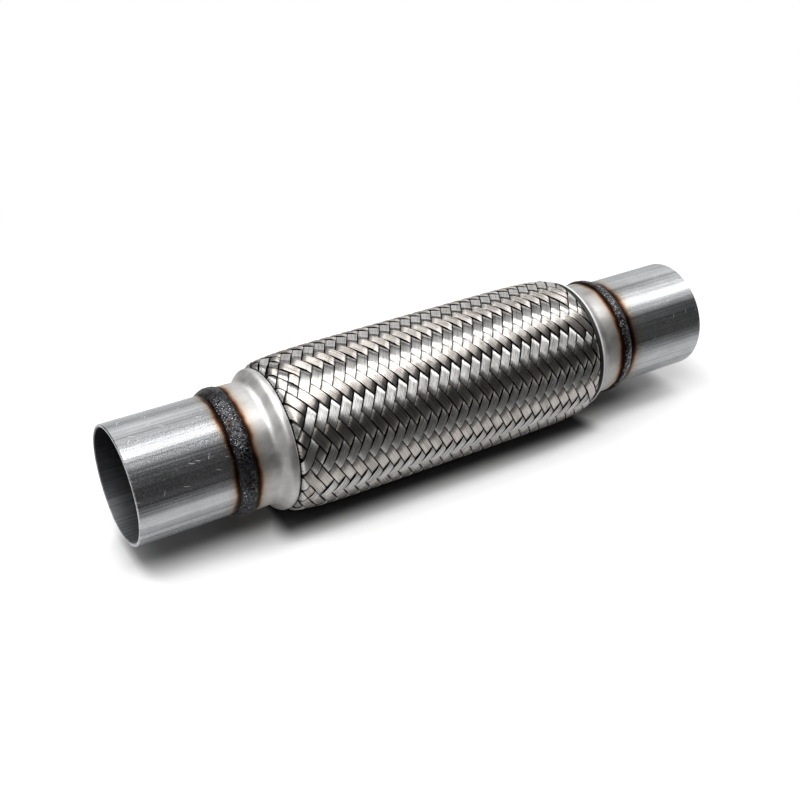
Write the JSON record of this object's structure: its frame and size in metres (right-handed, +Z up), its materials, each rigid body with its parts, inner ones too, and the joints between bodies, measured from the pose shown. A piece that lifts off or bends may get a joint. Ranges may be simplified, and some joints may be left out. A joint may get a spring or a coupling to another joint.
{
  "type": "exhaust flex pipe",
  "caption": "Braided flexible pipe section with a crimped collar and a welded pipe stub at each end, for joining two exhaust pipes.",
  "frame": {"origin": "on the pipe's axis, half way between its two rims", "axes": "+X along the pipe, out of the outlet stub; +Z up as the pipe lies on a floor; +Y to the left of +X"},
  "size_m": [0.305, 0.0728, 0.0728],
  "materials": {
    "stub_steel": "drawn steel tube, satin, with fine lengthwise lines",
    "weld_metal": "dark pitted weld metal with heat tint at its toes",
    "collar_steel": "fine matt stainless sheet",
    "braid_wire": "bright stainless wire laid side by side in flat ribbons",
    "bellows_sheet": "thin stainless sheet, smooth",
    "liner_strip": "rolled stainless strip",
    "ring_steel": "plain stainless ring, turned"
  },
  "bodies": {
    "inlet_end": {"inlet_stub_pipe": "stub_steel", "inlet_weld_bead": "weld_metal", "inlet_collar": "collar_steel", "inlet_support_ring": "ring_steel", "outer_braid": "braid_wire", "bellows": "bellows_sheet", "interlock_liner": "liner_strip"},
    "outlet_end": {"outlet_stub_pipe": "stub_steel", "outlet_weld_bead": "weld_metal", "outlet_collar": "collar_steel", "outlet_support_ring": "ring_steel"}
  },
  "joints": [
    {"name": "flex_bend", "type": "hinge", "parent": "inlet_end", "child": "outlet_end", "pos_m": [0, 0, 0], "axis": [0, 0, 1], "range_deg": [-10, 10], "stiffness_Nm_per_rad": 60, "deforming": ["outer_braid", "bellows", "interlock_liner"]}
  ]
}
